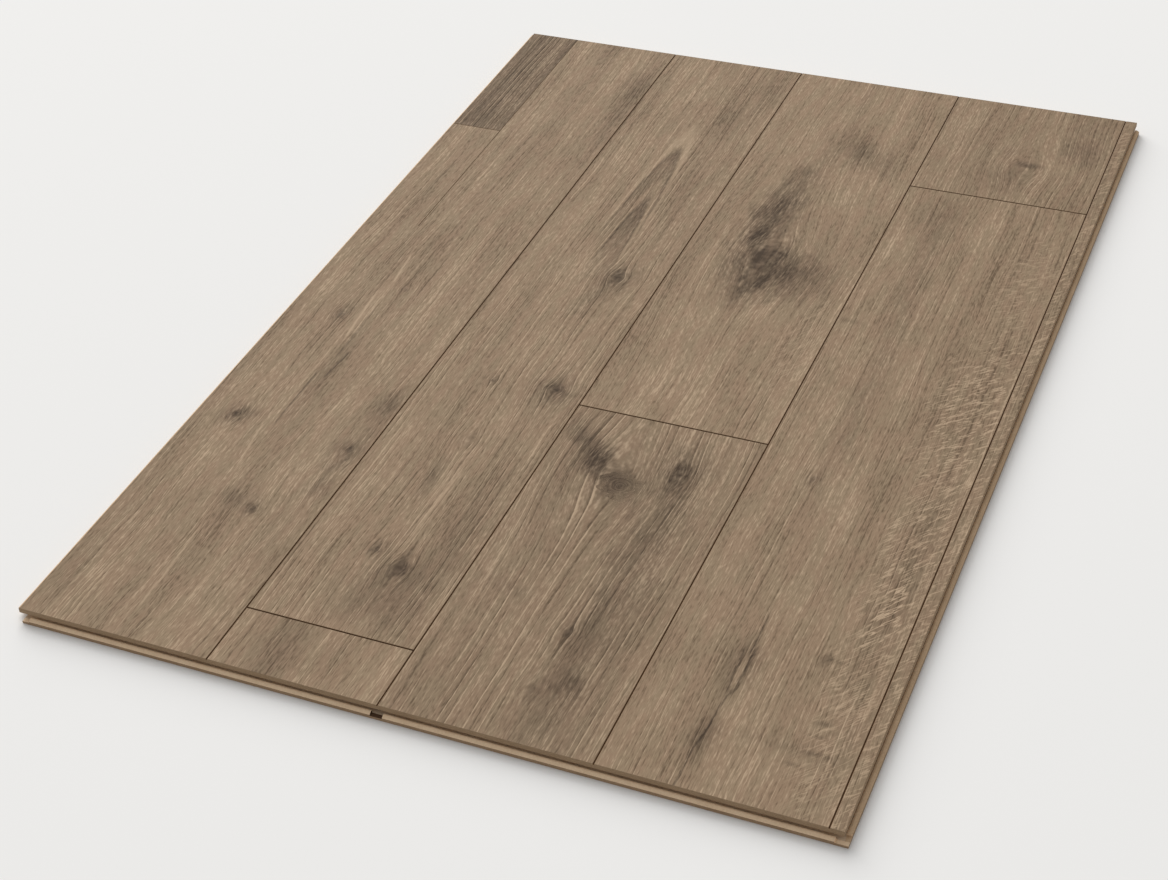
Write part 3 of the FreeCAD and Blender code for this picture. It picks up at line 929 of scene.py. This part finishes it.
def edge_finish(polygon, face, low, high):
    """Which finish a face of the board takes that isn't a plank, by its place and the way it looks."""
    centre = polygon.calc_center_median()
    outside = max(abs(centre.x) - face.width / 2, abs(centre.y) - face.length / 2)
    upper = centre.z > high.z / 2
    if polygon.normal.z < -FLAT and centre.z < low.z + WELD:
        return "backing_paper"
    # The trimmed notch beside the bead takes the dark fibre: painted shade inside it.
    trimmed = TRIM[0] - WELD <= centre.x + face.width / 2 <= TRIM[1] + WELD
    if trimmed and low.y + WELD < centre.y < low.y + 2 * TRIM_DEPTH and not upper:
        return "trim_painted_shade"
    if is_seam(polygon, face, high):
        return "eased_rim" if centre.z > high.z - SEAM_SHOULDER else "seam_paint"
    # Walls of the groove under the rim take the paler fibre: painted light in the recess.
    if outside < -RIM:
        return "groove_wall_painted_light"
    if upper and abs(outside) <= RIM and polygon.normal.z > -WELD:
        return "eased_rim"
    # Outer faces of the lips take the darker fibre: painted shade on the sides away from the light.
    if centre.x > high.x - WELD or centre.y < low.y + WELD:
        return "lip_face_painted_shade"
    # The bead at the front end takes the paler fibre: painted light on its lit top.
    return "bead_painted_light" if centre.y < -face.length / 2 else "fibre_core"


def board_mesh(face):
    """The CAD board with its planks cut into fine cells and the grain pressed into them."""
    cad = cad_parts[BOARD].data
    low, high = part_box(BOARD)
    board = welded_board(cad)
    planks = [p for p in board.faces if p.normal.z > FLAT and p.calc_center_median().z > high.z - WELD]
    planks = cut_rows(board, planks, 1, low.y, high.y, face.step_along)
    planks = cut_rows(board, planks, 0, low.x, high.x, face.step_across)
    cut_finishes(board, face, low, high)
    surface = set(planks)
    for corner in {corner for plank in planks for corner in plank.verts}:
        if surface.issuperset(corner.link_faces):
            corner.co.z -= relief_at(face, corner.co.x + face.width / 2, corner.co.y + face.length / 2)
    for polygon in board.faces:
        polygon.smooth = True
        if polygon in surface:
            centre = polygon.calc_center_median()
            polygon.material_index = plank_at(centre.x + face.width / 2, centre.y + face.length / 2)
        else:
            finish = edge_finish(polygon, face, low, high)
            polygon.material_index = len(PLANKS) + EDGE_FINISHES.index(finish)
    mesh = bpy.data.meshes.new("dressed_board")
    board.to_mesh(mesh)
    board.free()
    mesh.set_sharp_from_angle(angle=SHARP_ANGLE)
    return mesh


def edge_finishes(face, body):
    """The finishes of the edges and the underside, in the order of their materials."""
    finishes = (
        Finish(face.seam, face.seam_dark, 0.6, 0.0001),
        Finish(body.rim, body.rim_dark, 0.6, 0.0001),
        Finish(body.core, body.core_dark, 0.8, 0.0003),
        # Painted light: the bead's paler fibre.
        Finish(body.bead, body.bead_dark, 0.8, 0.0003),
        # Painted light: the groove walls' paler fibre.
        Finish(body.groove, body.groove_dark, 0.8, 0.0003),
        # Painted shade: the trimmed notch's dark fibre.
        Finish(body.burnt, body.burnt_dark, 0.8, 0.0003),
        # Painted shade: the darker fibre of the lip's outer faces.
        Finish(body.lip, body.lip_dark, 0.8, 0.0003),
        Finish(body.backing, body.backing_dark, 0.7, 0.0001),
    )
    return dict(zip(EDGE_FINISHES, finishes))


class FLOORBOARD_OT_dress(bpy.types.Operator):
    """Make the board with its oak face, fibre edges and paper backing"""

    bl_idname = "floorboard.dress"
    bl_label = "Dress Board"

    def execute(self, context):
        face, body = context.scene.floorboard_face, context.scene.floorboard_body
        groups = oak_groups(face)
        fibre = fibre_group()
        board = bpy.data.objects.new("dressed_board", board_mesh(face))
        context.scene.collection.objects.link(board)
        for number, plank in enumerate(PLANKS):
            board.data.materials.append(oak_material(plank, number * SEED_STEP, groups))
        for name, finish in edge_finishes(face, body).items():
            board.data.materials.append(fibre_material(name, fibre, finish))
        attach(board, "root")
        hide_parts(BOARD)
        return {"FINISHED"}


def floor_material(colour):
    """Pale floor that keeps the shadow. A camera below it looks through it, and light then passes it too."""
    material, wires, shader = new_material("studio_floor")
    shader.inputs["Base Color"].default_value = (*colour, 1.0)
    shader.inputs["Roughness"].default_value = FLOOR_ROUGHNESS
    shader.inputs["Specular IOR Level"].default_value = 0.0
    back = wires.add("ShaderNodeNewGeometry").outputs["Backfacing"]
    passed = wires.add("ShaderNodeLightPath").outputs["Transparent Depth"]
    below = wires.math("ADD", back, passed, clamp=True)
    clear = wires.add("ShaderNodeBsdfTransparent").outputs["BSDF"]
    mixed = wires.add("ShaderNodeMixShader", {0: below, 1: shader.outputs["BSDF"], 2: clear})
    output = next(node for node in material.node_tree.nodes if node.type == "OUTPUT_MATERIAL")
    wires.feed(output.inputs["Surface"], mixed.outputs["Shader"])
    return material


def add_floor(stage, low):
    """A wide floor just under the board."""
    half = stage.floor_size / 2
    corners = [(-half, -half, low), (half, -half, low), (half, half, low), (-half, half, low)]
    mesh = bpy.data.meshes.new("studio_floor")
    mesh.from_pydata(corners, [], [(0, 1, 2, 3)])
    mesh.materials.append(floor_material(stage.floor))
    floor = bpy.data.objects.new("studio_floor", mesh)
    bpy.context.scene.collection.objects.link(floor)


def add_sky(stage):
    """Even white light all round, seen by the camera as a pale backdrop."""
    world = bpy.data.worlds.new("studio_sky")
    world.use_nodes = True
    world.node_tree.nodes.clear()
    wires = Wires(world.node_tree)
    seen = wires.add("ShaderNodeLightPath").outputs["Is Camera Ray"]
    light = wires.add("ShaderNodeBackground", {"Color": (1.0, 1.0, 1.0), "Strength": stage.sky})
    backdrop = wires.add("ShaderNodeBackground", {"Color": stage.floor, "Strength": 1.0})
    mixed = wires.add("ShaderNodeMixShader", {
        0: seen, 1: light.outputs["Background"], 2: backdrop.outputs["Background"]})
    wires.add("ShaderNodeOutputWorld", {"Surface": mixed.outputs["Shader"]})
    bpy.context.scene.world = world


def add_lamp(stage):
    """One large soft lamp, above and behind on the left."""
    light = bpy.data.lights.new("soft_lamp", "AREA")
    light.energy = stage.lamp
    light.size = stage.lamp_size
    lamp = bpy.data.objects.new("soft_lamp", light)
    lamp.location = stage.lamp_place
    lamp.rotation_mode = "QUATERNION"
    lamp.rotation_quaternion = (-lamp.location).to_track_quat("-Z", "Y")
    bpy.context.scene.collection.objects.link(lamp)


def add_camera(stage):
    """The camera where the picture was taken from."""
    lens = bpy.data.cameras.new("camera")
    lens.lens = stage.lens
    camera = bpy.data.objects.new("camera", lens)
    camera.location = stage.camera_place
    sight = Vector(stage.camera_aim) - Vector(stage.camera_place)
    turn = sight.to_track_quat("-Z", "Y").to_euler()
    turn.rotate_axis("Z", stage.camera_roll)
    camera.rotation_euler = turn
    bpy.context.scene.collection.objects.link(camera)
    bpy.context.scene.camera = camera


class FLOORBOARD_OT_stage(bpy.types.Operator):
    """Set the pale floor, the soft light and the camera"""

    bl_idname = "floorboard.stage"
    bl_label = "Set Stage"

    def execute(self, context):
        stage = context.scene.floorboard_stage
        low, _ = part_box(BOARD)
        add_floor(stage, low.z - FLOOR_GAP)
        add_sky(stage)
        add_lamp(stage)
        add_camera(stage)
        context.scene.view_settings.view_transform = "Standard"
        return {"FINISHED"}


class FLOORBOARD_PT_finish(bpy.types.Panel):
    """Sizes, colours and steps of the board's finish"""

    bl_idname = "FLOORBOARD_PT_finish"
    bl_label = "Oak Floorboard"
    bl_space_type = "VIEW_3D"
    bl_region_type = "UI"
    bl_category = "Floorboard"

    def draw(self, context):
        for name in SETTINGS:
            settings = getattr(context.scene, name)
            column = self.layout.column(align=True)
            for key in settings.__annotations__:
                column.prop(settings, key)
        self.layout.operator(FLOORBOARD_OT_dress.bl_idname)
        self.layout.operator(FLOORBOARD_OT_stage.bl_idname)


SETTINGS = {
    "floorboard_face": FLOORBOARD_PG_face,
    "floorboard_body": FLOORBOARD_PG_body,
    "floorboard_stage": FLOORBOARD_PG_stage,
}
CLASSES = (*SETTINGS.values(), FLOORBOARD_OT_dress, FLOORBOARD_OT_stage, FLOORBOARD_PT_finish)


def register():
    """Adds the settings, the steps and the panel to Blender."""
    for kind in CLASSES:
        bpy.utils.register_class(kind)
    for name, kind in SETTINGS.items():
        setattr(bpy.types.Scene, name, PointerProperty(type=kind))


def unregister():
    """Takes them out again."""
    for name in SETTINGS:
        delattr(bpy.types.Scene, name)
    for kind in reversed(CLASSES):
        bpy.utils.unregister_class(kind)


def main():
    """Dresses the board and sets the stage."""
    register()
    bpy.ops.floorboard.dress()
    bpy.ops.floorboard.stage()


if __name__ == "__main__":
    main()
